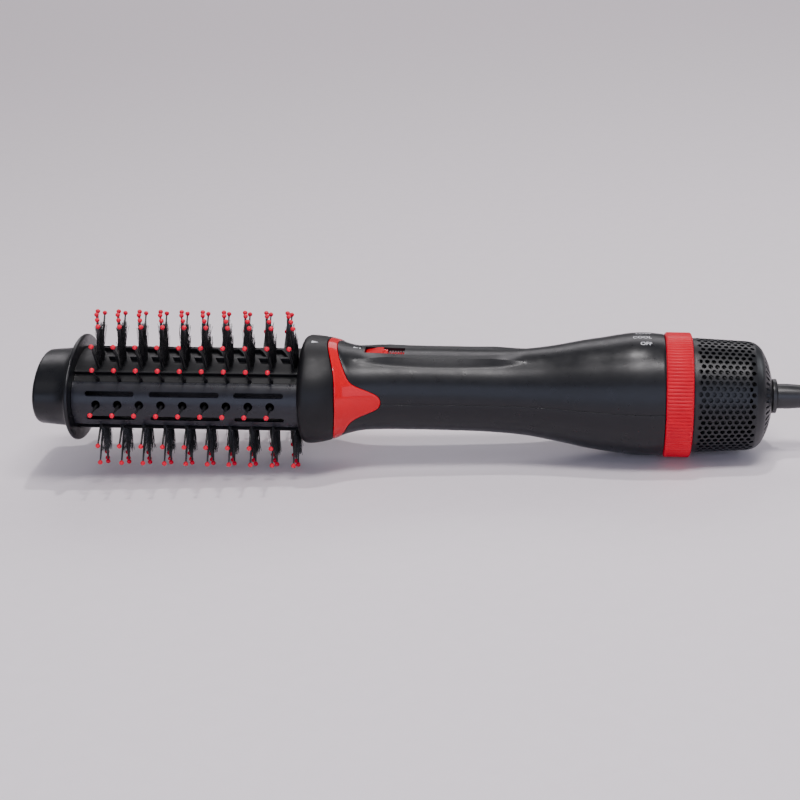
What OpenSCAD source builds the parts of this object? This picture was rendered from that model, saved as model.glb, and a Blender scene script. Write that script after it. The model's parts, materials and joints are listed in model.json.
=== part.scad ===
// Hot air brush: an oval round-brush head that pulls off a two-shell handle with a blower inside.
// The shapes are drawn along X with the tip at -X and the cord at +X, then laid down by lie().

/* [Brush head] */
// Half width of the oval barrel
barrel_half_w = 30.3; // [29.5:0.1:31]
// Half height of the oval barrel
barrel_half_h = 19.35; // [19:0.05:19.8]
// Pitch of the bristle columns along the barrel
column_pitch = 10.9; // [10.6:0.05:10.95]
// Length of the long pins on the wide faces
long_pin = 18.05; // [16:0.05:19]
// Length of the short pins near the narrow sides
short_pin = 11.7; // [10:0.1:13]
// Diameter of the ball on a pin
ball_d = 2.2; // [1.8:0.1:2.4]
// Lean of a bristle column, in millimetres along the barrel for each millimetre across it
column_lean = 0.45; // [0:0.01:0.48]

/* [Handle] */
// Wall of the moulded shells
wall = 2.2; // [1.8:0.1:2.4]
// Outer radius of the selector ring
selector_r = 31; // [30.6:0.1:31.6]
// Grip ribs around the selector ring
selector_ribs = 108; // [60:4:120]
// Angle between two settings of the selector
setting_step = 11.8; // [10:0.1:12]
// Travel of the release slider
release_travel = 8; // [4:0.5:8]

/* [Air inlet] */
// Width of an inlet slot in the basket
inlet_slot_w = 2.2; // [1.6:0.1:2.4]
// Pairs of opposite inlet slots around the basket
inlet_slot_pairs = 16; // [8:1:20]

/* [Cord] */
// Diameter of the mains lead
cord_d = 6.4; // [6:0.1:6.6]
// Diameter of a plug pin
plug_pin_d = 4.8; // [4:0.1:5]
// Distance between the plug pins
plug_pin_pitch = 19; // [18:0.5:20]

/* [Hidden] */

// Stations along the axis
tip_x = -183;
flange_x = -164.4;
barrel_x0 = -162;
collar_x0 = -49.4;
shell_end_x = 130.3;
ring_x0 = 130.7;
ring_x1 = 143.9;
neck_x0 = 126.8;
basket_x0 = 147;
basket_x1 = 183.6;
hub_x1 = 186;
relief_x1 = 220;
first_column_x = -150.2;
columns = 10;
side_columns = 9;
side_column_shift = 0.6;
long_rows = [55, 75, 84, 94, 107, 125];
short_rows = [-40, 0, 40];
tuft_rows = [65, 83, 98, 115];
pin_r = 0.5;
neck_r = 28;
run_gap = 0.06;
free_gap = 0.3;

// The brush rests on the lowest balls of its last column and on the selector ring.
rest_ball_x = first_column_x + (columns - 1) * column_pitch - column_lean * 8;
rest_ball_z = barrel_half_h + long_pin;
rest_tilt = atan((rest_ball_z + ball_d / 2 - selector_r) / (ring_x1 - rest_ball_x));
rest_lift = selector_r * cos(rest_tilt) + ring_x1 * sin(rest_tilt);
rim_z = 11; // height of the tip's furthest point when it lies tilted
mid_x = (tip_x * cos(rest_tilt) - rim_z * sin(rest_tilt) + relief_x1 * cos(rest_tilt)) / 2;
module lie() translate([-mid_x, 0, rest_lift]) rotate([0, rest_tilt, 0]) children();

function mix(a, b, s) = a + (b - a) * s;

// ---- Helpers ----

// A section drawn as (y, z) and pushed along X
module along(x0, x1) translate([x0, 0, 0]) rotate([90, 0, 90]) linear_extrude(x1 - x0) children();

// A profile drawn as (radius, x) and turned about X; flat squeezes it in height
module turned(profile, flat = 1) rotate([0, 90, 0]) scale([flat, 1, 1])
    rotate_extrude($fn = 96) polygon(profile);

module disc(x0, x1, r) translate([x0, 0, 0]) rotate([0, 90, 0]) cylinder(r = r, h = x1 - x0, $fn = 64);

// A tube of round section swept along points
function unit(v) = v / norm(v);
function heading(path, i) = unit(path[min(i + 1, len(path) - 1)] - path[max(i - 1, 0)]);
module sweep(path, r, sides, up = [0, 0, 1]) {
    last = len(path) - 1;
    points = [for (i = [0:last], j = [0:sides - 1])
        let (d = heading(path, i), u = unit(cross(d, up)), v = cross(u, d), a = 360 * j / sides)
        path[i] + r * (cos(a) * u + sin(a) * v)];
    side_faces = [for (i = [0:last - 1], j = [0:sides - 1])
        let (a = i * sides + j, b = i * sides + (j + 1) % sides)
        each [[a, a + sides, b + sides], [a, b + sides, b]]];
    ends = [[for (j = [0:sides - 1]) j], [for (j = [sides - 1:-1:0]) last * sides + j]];
    polyhedron(points, concat(side_faces, ends));
}

// ---- Barrel ----

function oval(t, inset) = [-(barrel_half_w - inset) * cos(t), (barrel_half_h - inset) * sin(t)];
module oval_band(t0, t1, outer, inner, steps = 16) polygon(concat(
    [for (i = [0:steps]) oval(mix(t0, t1, i / steps), outer)],
    [for (i = [steps:-1:0]) oval(mix(t0, t1, i / steps), inner)]));

module side_slot(x0, x1, z, h = 2.4) {
    translate([x0 + h / 2, -40, z - h / 2]) cube([x1 - x0 - h, 20, h]);
    for (x = [x0 + h / 2, x1 - h / 2])
        translate([x, -20, z]) rotate([90, 0, 0]) cylinder(d = h, h = 20, $fn = 24);
}

module vent_plate() difference() {
    along(barrel_x0, collar_x0) oval_band(-36, 36, 0, 1.6);
    for (z = [-6.2, 6.4]) {
        side_slot(-155.2, -130.5, z);
        side_slot(-122.9, -87.8, z);
        side_slot(-80.7, -55.8, z);
    }
    for (k = [0:side_columns - 1])
        translate([side_column_x(k), -20, 0]) rotate([90, 0, 0]) cylinder(d = 3.5, h = 20, $fn = 32);
}
module front_vent_plate() color([0.17, 0.17, 0.2]) lie() vent_plate();
module rear_vent_plate() color([0.17, 0.17, 0.2]) lie() mirror([0, 1, 0]) vent_plate();

function column_x(k) = first_column_x + k * column_pitch;
function side_column_x(k) = column_x(k) + side_column_shift;
function row_y(t) = oval(t, 0)[0];
function lean_x(t) = -column_lean * (max(row_y(75), min(row_y(t), row_y(103))) - row_y(75));

// Wide face: a recessed floor with a raised frame that has slanted air windows
module bristle_frame() difference() {
    union() {
        along(barrel_x0, collar_x0) oval_band(36.6, 143.4, 1.9, 3.2, 24);
        along(barrel_x0, collar_x0) oval_band(50, 130, 0, 2.2, 20);
    }
    for (k = [0:columns - 2])
        translate([column_x(k) + column_pitch / 2 + lean_x(90), 0, 10])
            rotate([0, 0, atan(column_lean)]) translate([-2.1, -13, 0]) cube([4.2, 26, 12]);
}
module upper_bristle_frame() color([0.09, 0.09, 0.1]) lie() bristle_frame();
module lower_bristle_frame() color([0.09, 0.09, 0.1]) lie() mirror([0, 0, 1]) bristle_frame();

// ---- Pins, balls and tufts ----

// Places a child on the barrel with its own +Z pointing out of it
module rooted(x, t, inset = 0) translate([x, oval(t, inset)[0], oval(t, inset)[1]])
    rotate([90 - t, 0, 0]) children();

// The stem ends this far past the middle of its ball.
pin_in_ball = 0.9;
module pin(x, t, reach) rooted(x, t) translate([0, 0, -6])
    cylinder(r = pin_r, h = reach + 6 + pin_in_ball, $fn = 16);
module ball(x, t, reach) rooted(x, t) translate([0, 0, reach]) difference() {
    sphere(d = ball_d, $fn = 24);
    translate([0, 0, -2]) cylinder(r = pin_r, h = 2 + pin_in_ball, $fn = 16);
}

// Each column of long pins stands on one moulded strip inside the barrel.
strip_z = 13.2;
function strip_y(t) = let (root = oval(t, 0)) root[0] + (root[1] - strip_z - 0.7) / tan(t);
module long_comb(k) {
    for (t = long_rows) pin(column_x(k) + lean_x(t), t, long_pin);
    translate([column_x(k), 0, strip_z]) linear_extrude(1.4) polygon(concat(
        [for (t = long_rows) [lean_x(t) - 0.9, strip_y(t) * 1.06]],
        [for (i = [len(long_rows) - 1:-1:0]) [lean_x(long_rows[i]) + 0.9, strip_y(long_rows[i]) * 1.06]]));
}
module long_combs() for (k = [0:columns - 1]) long_comb(k);
module upper_pins() color([0.08, 0.08, 0.08]) lie() long_combs();
module lower_pins() color([0.08, 0.08, 0.08]) lie() mirror([0, 0, 1]) long_combs();

module short_comb(k) {
    for (t = short_rows) pin(side_column_x(k), t, short_pin);
    along(side_column_x(k) - 0.8, side_column_x(k) + 0.8)
        polygon([[-27.6, -3], [-27.6, 3], [-20, 10], [-18, 8], [-24, 0], [-18, -8], [-20, -10]]);
}
module short_combs() for (k = [0:side_columns - 1]) short_comb(k);
module front_pins() color([0.08, 0.08, 0.08]) lie() short_combs();
module rear_pins() color([0.08, 0.08, 0.08]) lie() mirror([0, 1, 0]) short_combs();

module long_balls() for (k = [0:columns - 1], t = long_rows) ball(column_x(k) + lean_x(t), t, long_pin);
module upper_pin_tips() color([0.88, 0.2, 0.3]) lie() long_balls();
module lower_pin_tips() color([0.88, 0.2, 0.3]) lie() mirror([0, 0, 1]) long_balls();
module side_pin_tips() color([0.88, 0.2, 0.3]) lie() for (side = [0, 1]) mirror([0, side, 0])
    for (k = [0:side_columns - 1], t = short_rows) ball(side_column_x(k), t, short_pin);

module tufts() for (k = [0:columns - 1], t = tuft_rows)
    rooted(column_x(k) + lean_x(t), t, 2) cylinder(r1 = 1, r2 = 1.9, h = 14.5, $fn = 16);
module upper_tufts() color([0.06, 0.06, 0.06]) lie() tufts();
module lower_tufts() color([0.06, 0.06, 0.06]) lie() mirror([0, 0, 1]) tufts();

// ---- Tip and core ----

module cool_tip() color([0.15, 0.15, 0.16]) lie() difference() {
    union() {
        turned([[0, tip_x], [25.6, tip_x], [27.6, tip_x + 0.9], [28.5, tip_x + 3],
            [30.2, flange_x - 0.4], [30.2, flange_x + 1], [0, flange_x + 1]], 0.625);
        turned([[0, flange_x], [35.9, flange_x], [36.6, flange_x + 0.8],
            [36.6, barrel_x0 - 0.6], [36, barrel_x0], [0, barrel_x0]], 0.7);
    }
    turned([[0, tip_x + 2.4], [25.8, tip_x + 2.4], [27.6, barrel_x0 + 1], [0, barrel_x0 + 1]], 0.62);
}
module tip_screw() color("silver") lie() {
    disc(-157.9, -156, 3.4);
    disc(-156, -146, 1.6);
}

// Perforated tube that carries hot air along the head
module air_core() color([0.6, 0.6, 0.62]) lie() difference() {
    union() {
        difference() {
            disc(-158, -45.2, 12.5);
            disc(-154.8, -44, 11.5);
        }
        disc(-154.8, -144, 3.2);
    }
    disc(-159, -146, 1.6);
    disc(-159, -156, 3.6);
    for (k = [0:7], a = [0:60:120]) translate([-138 + 11 * k, 0, 0]) rotate([a, 0, 0])
        cylinder(d = 5, h = 40, center = true, $fn = 24);
}

// ---- Handle surface ----

// Stations of the body's outline: x, top, bottom, half width
body_line = [
    [-49.4, 26.8, -25.9, 32.6], [-46.4, 27, -26.1, 33], [-38, 26.3, -25.1, 32], [-32.8, 25.5, -23.7, 29.6],
    [-27.7, 23.6, -21.7, 26.4], [-20.2, 22.2, -20, 23.2], [-9.6, 21.7, -19.4, 21.4], [5, 21.4, -19.3, 20.6],
    [25, 21.3, -19.5, 20.4], [42, 21.2, -19.9, 20.4], [54, 21.3, -20.6, 20.7], [64, 22, -21.6, 21.6],
    [73, 23.1, -23.2, 22.8], [82, 24.6, -24.9, 24.5], [91, 26.5, -26.8, 26.3], [100, 28.2, -28.2, 28],
    [108, 29.6, -29.2, 29.4], [115, 30.6, -30, 30.3], [121, 30.8, -30.3, 30.6], [130.3, 30.1, -30.1, 30.1]
];
function line_value(x, column) = lookup(x, [for (s = body_line) [s[0], s[column]]]);

// Flat deck on top of the grip: half width and height of its edge fade out at both ends
deck_x0 = -22;
deck_x1 = 62;
function deck_fade(x) = x <= deck_x0 || x >= deck_x1 ? 0
    : sqrt(sin(180 * (x - deck_x0) / (deck_x1 - deck_x0)));

// A point on the body: phi is measured round the axis from the top, inset is the depth below the skin
function skin_point(x, phi, inset) =
    let (top = line_value(x, 1), bottom = line_value(x, 2), mid = (top + bottom) / 2,
        h = (top - bottom) / 2 - inset, w = line_value(x, 3) - inset,
        y = w * sin(phi), z = mid + h * cos(phi), side = abs(phi),
        deck_z = top - 0.5 * deck_fade(x) - inset,
        lifted = side < 28 ? deck_z : side < 38 ? mix(deck_z, mid + h * cos(38), (side - 28) / 10) : z)
    [x, -y, mix(z, max(z, lifted), deck_fade(x))];

// A shell between two depths under a grid of [x, phi]; wrap closes it round the axis
module skin(grid, outer, inner, wrap) {
    rows = len(grid);
    cols = len(grid[0]);
    layer = rows * cols;
    points = concat([for (row = grid, p = row) skin_point(p[0], p[1], outer)],
        [for (row = grid, p = row) skin_point(p[0], p[1], inner)]);
    cells = [for (i = [0:rows - 2], j = [0:wrap ? cols - 1 : cols - 2])
        [i * cols + j, i * cols + (j + 1) % cols, (i + 1) * cols + (j + 1) % cols, (i + 1) * cols + j]];
    outside = [for (c = cells) each [[c[0], c[1], c[2]], [c[0], c[2], c[3]]]];
    inside = [for (f = outside) [f[2] + layer, f[1] + layer, f[0] + layer]];
    front = [for (j = [0:cols - (wrap ? 1 : 2)]) [j, (j + 1) % cols]];
    back = [for (e = front) [e[1], e[0]] + (rows - 1) * cols * [1, 1]];
    seams = wrap ? [] : concat([for (i = [0:rows - 2]) [(i + 1) * cols, i * cols]],
        [for (i = [0:rows - 2]) [i * cols, (i + 1) * cols] + (cols - 1) * [1, 1]]);
    edges = [for (e = concat(front, back, seams)) each
        [[e[1], e[0], e[0] + layer], [e[1], e[0] + layer, e[1] + layer]]];
    polyhedron(points, concat(outside, inside, edges));
}

// Edges between the collar, the trim ring and the shells, as x for each phi
function collar_edge(phi) = -31.2 - (abs(phi) < 90 ? 5.4 * pow(cos(phi), 4) : 3.6 * pow(cos(phi), 2));
function trim_edge(phi) = -31.6 + 9.4 * pow(sin(phi), 2) + 13.4 * exp(-pow(abs(90 - abs(phi)) / 20.6, 3));
// Where the seam at the height of the axis meets the body
function seam_phi(x) = let (top = line_value(x, 1), bottom = line_value(x, 2))
    acos(-(top + bottom) / (top - bottom));

round_phi = [for (j = [0:47]) j * 7.5 - 180];

module head_collar() color([0.1, 0.1, 0.11]) lie() skin(
    [for (s = [0:4]) [for (phi = round_phi) [mix(collar_x0, collar_edge(phi), s / 4), phi]]], 0, wall, true);

module trim_ring() color([0.8, 0.08, 0.12]) lie() skin(
    [for (s = [0:4]) [for (phi = round_phi) [mix(collar_edge(phi) + free_gap, trim_edge(phi), s / 4), phi]]],
    0, wall, true);

shell_rows = [for (x = [6:12:66]) x];
shell_rows_rear = [for (x = [72:8:128]) x];
module half_shell(upper) {
    spread = [for (j = [0:24]) j / 12 - 1];
    function seam_at(x, s) = upper ? s * seam_phi(x) : 180 + s * (180 - seam_phi(x));
    function wrap_phi(phi) = phi > 180 ? phi - 360 : phi;
    front_rows = [for (i = [0:4]) [for (s = spread)
        let (phi = wrap_phi(seam_at(-8, s))) [mix(trim_edge(phi) + free_gap / 2, -2, i / 4), phi]]];
    rear_rows = [for (x = concat(shell_rows, shell_rows_rear, [shell_end_x])) [for (s = spread)
        [x, wrap_phi(seam_at(x, s))]]];
    skin(concat(front_rows, rear_rows), 0, wall, false);
}

slider_x0 = -18;
slider_x1 = 1.9;
screw_xs = [53, 67];
screw_r = 1.2;
recess_depth = 1.2;
module handle_upper_shell() color([0.15, 0.15, 0.17]) lie() difference() {
    half_shell(true);
    translate([slider_x0, -4.6, 17]) cube([slider_x1 - slider_x0, 9.2, 8]);
}
module handle_lower_shell() color([0.15, 0.15, 0.17]) lie() difference() {
    half_shell(false);
    for (x = screw_xs) translate([x, 0, line_value(x, 2)]) {
        translate([0, 0, -3]) cylinder(r = 2.6, h = 3 + recess_depth, $fn = 32);
        cylinder(r = screw_r + 0.2, h = 4, $fn = 32);
    }
}
// Posts between the shells that the screws bite into
module screw_posts() color([0.15, 0.15, 0.17]) lie() for (x = screw_xs)
    let (low = line_value(x, 2) + wall + 0.4, high = line_value(x, 1) - wall - 1.2)
        translate([x, 0, low]) difference() {
            cylinder(r = 3, h = high - low, $fn = 32);
            translate([0, 0, -1]) cylinder(r = screw_r, h = 22, $fn = 32);
        }
module shell_screws() color("silver") lie() for (x = screw_xs)
    translate([x, 0, line_value(x, 2) + recess_depth]) {
        translate([0, 0, -1]) cylinder(r = 2.4, h = 1, $fn = 32);
        cylinder(r = screw_r, h = 20, $fn = 32);
    }

// ---- Head joint ----

module head_socket() color([0.1, 0.1, 0.11]) lie() difference() {
    union() {
        along(collar_x0 + 0.4, collar_x0 + 2.4) scale([31, 24.2]) circle(1, $fn = 64);
        disc(collar_x0 + 2.4, -38.6, 24.2);
    }
    disc(collar_x0 - 1, collar_x0 + 3, 12.6);
    disc(collar_x0 + 2.4, -38, 22.3);
}
module head_spigot() color([0.12, 0.12, 0.13]) lie() turned([[20, -44.8], [22, -44.8], [22, -31],
    [17.2, -31], [17.2, -14], [15.2, -14], [15.2, -33], [20, -33]]);

module release_slider() color([0.8, 0.08, 0.12]) lie() {
    translate([slider_x0 + free_gap, -4.3, 19]) cube([slider_x1 - slider_x0 - release_travel - 1, 8.6, 2.4]);
    translate([0, 4.3, 0]) rotate([90, 0, 0]) linear_extrude(8.6)
        polygon([[-16, 21.4], [-13.5, 23], [-12.6, 23], [-7, 21.4]]);
}
module slider_tray() color([0.1, 0.1, 0.11]) lie()
    translate([slider_x0 - 1.4, -5.6, 17.7]) cube([slider_x1 - slider_x0 + 2.8, 11.2, 1]);
module release_spring() color("silver") lie() {
    turns = 6;
    length = release_travel;
    sweep([for (i = [0:turns * 8]) [slider_x1 - 0.2 - length * i / (turns * 8),
        0.8 * cos(45 * i), 20.2 + 0.8 * sin(45 * i)]], 0.2, 6, [1, 0, 0]);
}

// ---- Heater ----

heater_z = 0.8;
module heater_sleeve() color([0.75, 0.7, 0.6]) lie() translate([0, 0, heater_z]) difference() {
    disc(-12, 46, 16.4);
    disc(-13, 47, 15.8);
}
module heater_frame() color([0.8, 0.75, 0.65]) lie() translate([-10, 0, heater_z]) {
    translate([0, -13.8, -0.5]) cube([54, 27.6, 1]);
    for (side = [0, 1]) mirror([0, 0, side]) translate([0, -0.5, 0.5]) cube([54, 1, 13.3]);
}
module heater_coil() color([0.7, 0.55, 0.4]) lie() translate([0, 0, heater_z]) {
    turns = 9;
    sweep([for (i = [0:turns * 16]) [-5 + 44 * i / (turns * 16), 14.6 * cos(22.5 * i), 14.6 * sin(22.5 * i)]],
        0.5, 6, [1, 0, 0]);
}
module thermostat() color("silver") lie()
    translate([-4, 0.5, heater_z + 7]) rotate([-90, 0, 0]) cylinder(r = 4, h = 3.2, $fn = 32);
module thermal_fuse() color("white") lie() translate([20, 2.4, heater_z + 4]) rotate([0, 90, 0])
    cylinder(r = 1.9, h = 12, $fn = 24);

// ---- Blower ----

module stator_vanes() color([0.2, 0.2, 0.22]) lie() {
    difference() {
        disc(73, 85, 19.6);
        disc(72, 86, 18);
    }
    disc(73, 85, 6.5);
    for (a = [0:60:300]) rotate([a, 0, 0]) translate([73, -0.7, 6]) cube([12, 1.4, 12.8]);
}
module impeller() color([0.85, 0.85, 0.8]) lie() {
    difference() {
        disc(90, 101, 6);
        disc(89, 102, 1.5);
    }
    for (a = [0:360 / 9:320]) rotate([a, 0, 0]) translate([95.5, 0, 5.5]) rotate([0, 0, 35])
        translate([-6, -0.6, 0]) cube([12, 1.2, 15]);
}
module motor_shaft() color("silver") lie() disc(89, 112, 1.5);
module motor_can() color([0.7, 0.7, 0.72]) lie() difference() {
    disc(105, 128, 14);
    disc(104, 113, 1.55);
}
module motor_cradle() color([0.2, 0.2, 0.22]) lie() difference() {
    union() {
        disc(110, 122, 16);
        for (a = [45:90:315]) rotate([a, 0, 0]) translate([112, -1.2, 15]) cube([8, 2.4, 11.6]);
    }
    disc(109, 123, 14);
}

// ---- Selector and inlet ----

// The groove under the selector ring holds the sliding contact.
module rear_neck() color([0.12, 0.12, 0.13]) lie() turned([[24.2, neck_x0], [27.6, neck_x0],
    [27.6, shell_end_x], [neck_r, shell_end_x], [neck_r, 134], [26.4, 134], [26.4, 140.4], [neck_r, 140.4],
    [neck_r, basket_x0 - 0.2], [26, basket_x0 - 0.2], [26, 151], [24.2, 151]]);

module selector_ring() color([0.85, 0.1, 0.15]) lie() difference() {
    along(ring_x0, ring_x1) polygon([for (i = [0:selector_ribs - 1])
        let (a = 90 + 360 * i / selector_ribs, step = 360 / selector_ribs, pad = min(i, selector_ribs - i) < 4,
            low = pad ? 0 : 0.55)
        each [selector_r * [cos(a), sin(a)], (selector_r - low) * [cos(a + step / 2), sin(a + step / 2)]]]);
    disc(ring_x0 - 1, ring_x1 + 1, neck_r + run_gap);
}
module arc_pad(x0, x1, r0, r1, angle, width) along(x0, x1) polygon(concat(
    [for (i = [0:6]) r1 * [sin(angle + width * (i / 6 - 0.5)), cos(angle + width * (i / 6 - 0.5))]],
    [for (i = [6:-1:0]) r0 * [sin(angle + width * (i / 6 - 0.5)), cos(angle + width * (i / 6 - 0.5))]]));
module contact_wiper() color([0.75, 0.55, 0.3]) lie() arc_pad(134.5, 139.9, 26.9, neck_r + run_gap, 180, 8);
module switch_contacts() color([0.75, 0.55, 0.3]) lie() for (k = [0:3])
    arc_pad(135, 139.4, 26.42, 26.6, 180 - k * setting_step, 7);
module circuit_board() color([0.1, 0.35, 0.2]) lie() {
    translate([131, -17, -14]) cube([18, 34, 1.6]);
    for (y = [-9, 0, 9]) translate([140, y, -12.4]) cylinder(r = 2.6, h = 7, $fn = 32);
}

basket_outer = [[28.3, basket_x0], [27, 171.5], [26.3, 174.5], [24.4, 177.3], [20, 180], [15.6, 181.9],
    [10, 183.3], [7, basket_x1]];
basket_inner = [[7, 181.4], [9.6, 181.2], [14.8, 179.9], [19, 178.1], [22.8, 175.8], [24.5, 173.8],
    [25.2, 171.5], [26.3, basket_x0]];
module inlet_basket() color([0.12, 0.12, 0.13]) lie() difference() {
    turned(concat([[5.06, basket_x1]], [for (i = [7:-1:0]) basket_outer[i]],
        [for (i = [7:-1:0]) basket_inner[i]], [[5.06, 181.4]]));
    for (k = [0:inlet_slot_pairs - 1]) rotate([k * 180 / inlet_slot_pairs, 0, 0])
        translate([149.5, -inlet_slot_w / 2, -40]) cube([22, inlet_slot_w, 80]);
}
module inlet_filter() color([0.4, 0.4, 0.42]) lie() turned([[24.4, 151.2], [25, 151.2], [24.2, 171],
    [18.6, 176.6], [9, 179.6], [9, 179], [18.2, 176], [23.6, 170.6]]);

// ---- Swivel and cord ----

cord_r = cord_d / 2;
relief_bore_r = cord_r + free_gap;
module swivel_hub() color([0.13, 0.13, 0.14]) lie() difference() {
    union() {
        disc(basket_x1 + 0.1, hub_x1, 8.5);
        disc(180, hub_x1, 5);
        disc(179.8, 181.3, 7.4);
    }
    disc(179, hub_x1 + 1, 4.2);
}
module strain_relief() color([0.1, 0.1, 0.1]) lie() difference() {
    turned([[0, 180.5], [4.2, 180.5], [4.2, hub_x1], [6.2, hub_x1], [6.2, 192], [5.6, 200], [4.6, relief_x1],
        [0, relief_x1]]);
    disc(180, relief_x1 + 1, relief_bore_r);
    for (k = [0:4]) translate([195 + 4.6 * k, -8, -8]) for (side = [0, 1])
        translate([0, side * 12.2, 0]) cube([1.6, 3.8, 16]);
}

lead_route = [[196, 0, 28.2], [202, 0, 28], [214, 0, 27], [228, 0, 24], [242, -0.4, 18],
    [255, -1.6, 11.4], [268, -3.6, 6.2], [282, -6.2, 3.8], [298, -8.8, 3.2], [314, -11, 3.2],
    [330, -11.6, 3.2]];
coil_centre = [330, 30];
coil_mid_r = 35.2;
tail_route = [[330, 65.2, 22.4], [318, 65.3, 22.4], [304, 65.5, 22.3], [297, 65.6, 20.8],
    [288, 65.8, 16.8], [278, 66, 12], [268, 66, 10]];
plug_rear = [268, 66, 10];

// A smooth curve through the points of a route
function spline(p, i, s) =
    let (a = p[max(i - 1, 0)], b = p[i], c = p[i + 1], d = p[min(i + 2, len(p) - 1)])
    0.5 * (2 * b + (c - a) * s + (2 * a - 5 * b + 4 * c - d) * s * s + (3 * b - a - 3 * c + d) * s * s * s);
function smooth(p) = concat([for (i = [0:len(p) - 2], s = [0, 0.5]) spline(p, i, s)], [p[len(p) - 1]]);

module cord_lead() color([0.1, 0.1, 0.1]) sweep(smooth(lead_route), cord_r, 8);
module cord_tail() color([0.1, 0.1, 0.1]) sweep(smooth(tail_route), cord_r, 8);
module cord_coil() color([0.1, 0.1, 0.1]) translate(coil_centre) rotate_extrude($fn = 64) polygon([
    [coil_mid_r - 1.5 * cord_d, 0], [coil_mid_r + 1.5 * cord_d, 0], [coil_mid_r + 1.5 * cord_d, 3 * cord_d],
    [coil_mid_r - cord_r, 3 * cord_d], [coil_mid_r - cord_r, 2 * cord_d], [coil_mid_r - 1.5 * cord_d, 2 * cord_d]]);
module cord_tie() color([0.15, 0.15, 0.15]) translate([coil_centre[0] + coil_mid_r, coil_centre[1], 0])
    difference() {
        translate([-11.4, -4, 0]) cube([22.8, 8, 3 * cord_d + 0.9]);
        translate([-10.3, -5, -1]) cube([20.6, 10, 3 * cord_d + 1.1]);
    }
module plug_body() color([0.1, 0.1, 0.1]) translate(plug_rear) {
    difference() {
        rotate([0, -90, 0]) cylinder(r1 = 5, r2 = 7, h = 14, $fn = 48);
        rotate([0, -90, 0]) translate([0, 0, -1]) cylinder(r = cord_r, h = 5, $fn = 48);
    }
    translate([-38, -10, -8.5]) cube([25, 20, 17]);
    translate([-44, -18, -10]) cube([7, 36, 20]);
}
module plug_pins() color("silver") translate(plug_rear) for (side = [-1, 1])
    translate([-44, side * plug_pin_pitch / 2, 0]) rotate([0, -90, 0]) cylinder(d = plug_pin_d, h = 19, $fn = 32);

cool_tip();
tip_screw();
front_vent_plate();
rear_vent_plate();
upper_bristle_frame();
lower_bristle_frame();
upper_pins();
lower_pins();
front_pins();
rear_pins();
upper_pin_tips();
lower_pin_tips();
side_pin_tips();
upper_tufts();
lower_tufts();
air_core();
head_collar();
head_socket();
trim_ring();
handle_upper_shell();
handle_lower_shell();
shell_screws();
screw_posts();
head_spigot();
release_slider();
release_spring();
slider_tray();
heater_sleeve();
heater_frame();
heater_coil();
thermostat();
thermal_fuse();
stator_vanes();
impeller();
motor_shaft();
motor_can();
motor_cradle();
rear_neck();
selector_ring();
contact_wiper();
switch_contacts();
circuit_board();
inlet_basket();
inlet_filter();
swivel_hub();
strain_relief();
cord_lead();
cord_coil();
cord_tie();
cord_tail();
plug_body();
plug_pins();
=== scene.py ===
"""Looks of the hot air brush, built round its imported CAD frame.

Shapes are worked out in millimetres in the brush's own frame (x along the axis, the tip at -x,
z up through the release slider) and LIE lays them down where the CAD part rests.
"""

import json
import math

import bpy
import numpy as np
from mathutils import Matrix, Vector


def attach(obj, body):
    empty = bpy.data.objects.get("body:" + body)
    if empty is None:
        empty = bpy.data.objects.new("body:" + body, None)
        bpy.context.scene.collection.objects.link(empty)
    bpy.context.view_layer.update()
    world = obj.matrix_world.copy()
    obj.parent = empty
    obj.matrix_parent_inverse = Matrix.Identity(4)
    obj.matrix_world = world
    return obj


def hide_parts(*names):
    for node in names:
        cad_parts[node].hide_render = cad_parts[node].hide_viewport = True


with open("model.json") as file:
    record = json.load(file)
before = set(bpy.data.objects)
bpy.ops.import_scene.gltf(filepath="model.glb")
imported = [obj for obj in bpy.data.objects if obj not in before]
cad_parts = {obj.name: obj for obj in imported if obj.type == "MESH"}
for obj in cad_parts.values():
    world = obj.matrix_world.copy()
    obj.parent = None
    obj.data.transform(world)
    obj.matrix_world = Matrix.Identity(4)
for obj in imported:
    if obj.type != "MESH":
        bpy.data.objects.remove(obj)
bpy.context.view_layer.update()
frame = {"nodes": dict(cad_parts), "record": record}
rng = np.random.default_rng(7)

MM = 0.001
JOINTS = {j["name"]: j for j in frame["record"]["behaviour"]["joints"]}
SPIN = JOINTS["blower_spin"]
SPIN_X = 95.0                                   # where the blower joint sits on the axis
TILT = math.atan2(-SPIN["axis"][2], SPIN["axis"][0])
LIE = (Matrix.Translation(SPIN["pos_m"]) @ Matrix.Rotation(TILT, 4, "Y")
       @ Matrix.Scale(MM, 4) @ Matrix.Translation((-SPIN_X, 0, 0)))
IN_ROW = Matrix.Scale(MM, 4)                    # for what is already drawn in the row frame


# ---- Camera ----

AZIMUTH, ELEVATION, CAMERA_ROLL = 6.2, 20, -3.3  # degrees
CAMERA_DISTANCE, LENS_MM, SENSOR_MM = 0.920, 82, 36
AIM_SHIFT = (-0.0011, 0, -0.005)                # from the origin of the brush's own frame


def place_camera():
    """The photograph's view: nearly square on to the side and a little toward the cord, from above."""
    azimuth, elevation = math.radians(AZIMUTH), math.radians(ELEVATION)
    target = LIE @ Vector((0, 0, 0)) + Vector(AIM_SHIFT)
    away = Vector((math.sin(azimuth) * math.cos(elevation), -math.cos(azimuth) * math.cos(elevation),
                   math.sin(elevation)))
    camera = bpy.data.objects.new("camera", bpy.data.cameras.new("camera"))
    camera.data.lens = LENS_MM
    camera.data.sensor_width = SENSOR_MM
    roll = Matrix.Rotation(math.radians(CAMERA_ROLL), 4, "Z")
    camera.matrix_world = (Matrix.Translation(target + away * CAMERA_DISTANCE)
                           @ away.to_track_quat("Z", "Y").to_matrix().to_4x4() @ roll)
    bpy.context.collection.objects.link(camera)
    bpy.context.scene.camera = camera


place_camera()


# ---- Materials ----

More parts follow.
